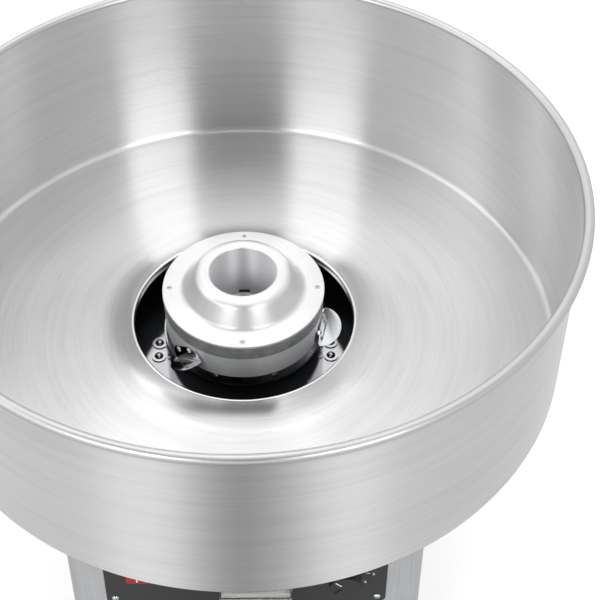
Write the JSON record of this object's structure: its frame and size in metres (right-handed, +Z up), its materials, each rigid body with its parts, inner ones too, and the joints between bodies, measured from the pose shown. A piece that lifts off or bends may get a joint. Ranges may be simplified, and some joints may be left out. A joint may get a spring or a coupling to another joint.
{
  "type": "candy floss machine",
  "caption": "Counter-top sugar spinner: a heated spinning head with pitched air vanes in a deep round steel bowl, on a square sheet-metal base with a motor and controls.",
  "frame": {"origin": "centre of the footprint, on the surface that the rubber feet stand on; the spindle's axis is the Z axis", "axes": "+Z up along the spindle, -Y to the front where the controls are, +X to the right seen from the front"},
  "size_m": [0.5199, 0.52, 0.493],
  "materials": {
    "bowl_steel": "spun stainless sheet, brushed in circles on the floor and round the wall",
    "case_steel": "stainless sheet, brushed",
    "black_rubber": "moulded rubber",
    "cast_aluminium": "spun and fine-turned, satin",
    "turned_aluminium": "turned, unpolished",
    "bright_screws": "bright zinc and stainless fasteners",
    "vane_steel": "bright stainless sheet",
    "rivet_aluminium": "bright rivets",
    "element_sheath": "heat-tinted metal sheath",
    "white_ceramic": "glazed ceramic",
    "copper": "bare and enamelled copper",
    "turned_steel": "turned steel",
    "brown_phenolic": "phenolic moulding",
    "ring_brass": "turned brass",
    "stamped_core": "stack of steel laminations",
    "dark_plastic": "moulded plastic, fine grain",
    "motor_casting": "painted casting",
    "carbon": "pressed carbon",
    "panel_plastic": "black powder-coated plate",
    "red_plastic": "glossy moulding",
    "green_plastic": "glossy moulding",
    "dial_plastic": "white dial",
    "clear_window": "clear window",
    "needle_plastic": "red needle"
  },
  "bodies": {
    "base": {"bowl_seat_drum": "case_steel", "bowl_gasket": "black_rubber", "deck": "case_steel", "deck_collar": "case_steel", "housing": "case_steel", "rear_cover": "case_steel", "bottom_plate": "case_steel", "foot_front_left": "black_rubber", "foot_front_right": "black_rubber", "foot_rear_left": "black_rubber", "foot_rear_right": "black_rubber", "foot_screws": "bright_screws", "case_screws": "bright_screws", "motor_bracket": "turned_steel", "bracket_screws": "bright_screws", "bracket_washers": "bright_screws", "bracket_nuts": "bright_screws", "motor_top_bell": "motor_casting", "motor_stator": "stamped_core", "stator_windings": "copper", "motor_bottom_bell": "motor_casting", "motor_screws": "bright_screws", "bearing_upper": "turned_steel", "bearing_lower": "turned_steel", "brush_holder": "brown_phenolic", "carbon_brushes": "carbon", "brush_springs": "bright_screws", "control_panel": "panel_plastic", "panel_screws": "bright_screws", "power_switch_case": "dark_plastic", "heat_switch_case": "dark_plastic", "heat_regulator": "turned_steel", "meter_case": "dark_plastic", "meter_dial": "dial_plastic", "meter_window": "clear_window", "cord_gland": "dark_plastic"},
    "spinner": {"spindle": "turned_steel", "slip_ring_sleeve": "brown_phenolic", "slip_ring_upper": "ring_brass", "slip_ring_lower": "ring_brass", "rotor_core": "stamped_core", "cooling_fan": "dark_plastic", "head_cap": "cast_aluminium", "head_band": "turned_aluminium", "head_dish": "turned_aluminium", "cap_screws": "bright_screws", "head_screw": "bright_screws", "vane_1": "vane_steel", "vane_2": "vane_steel", "vane_3": "vane_steel", "vane_rivets": "rivet_aluminium", "heating_element": "element_sheath", "element_posts": "white_ceramic", "heater_leads": "copper"},
    "bowl_body": {"bowl": "bowl_steel", "bowl_locating_ring": "bowl_steel"},
    "power_rocker_body": {"power_rocker": "red_plastic"},
    "heat_rocker_body": {"heat_rocker": "green_plastic"},
    "knob_body": {"heat_knob": "dark_plastic"},
    "needle_body": {"meter_needle": "needle_plastic"}
  },
  "joints": [
    {"name": "spinner_turn", "type": "hinge", "parent": "base", "child": "spinner", "pos_m": [0, 0, 0.35], "axis": [0, 0, 1], "continuous": true},
    {"name": "bowl_lift", "type": "slide", "parent": "base", "child": "bowl_body", "axis": [0, 0, 1], "range_m": [0, 0.2]},
    {"name": "power_switch", "type": "hinge", "parent": "base", "child": "power_rocker_body", "pos_m": [-0.088, -0.143, 0.203], "axis": [1, 0, 0], "range_deg": [0, 16]},
    {"name": "heat_switch", "type": "hinge", "parent": "base", "child": "heat_rocker_body", "pos_m": [-0.052, -0.143, 0.203], "axis": [1, 0, 0], "range_deg": [0, 16]},
    {"name": "heat_knob_turn", "type": "hinge", "parent": "base", "child": "knob_body", "pos_m": [0.08, -0.1455, 0.203], "axis": [0, 1, 0], "range_deg": [0, 270]},
    {"name": "needle_swing", "type": "hinge", "parent": "base", "child": "needle_body", "pos_m": [0.008, -0.1503, 0.189], "axis": [0, 1, 0], "range_deg": [0, 90], "stiffness_Nm_per_rad": 0.0002}
  ]
}
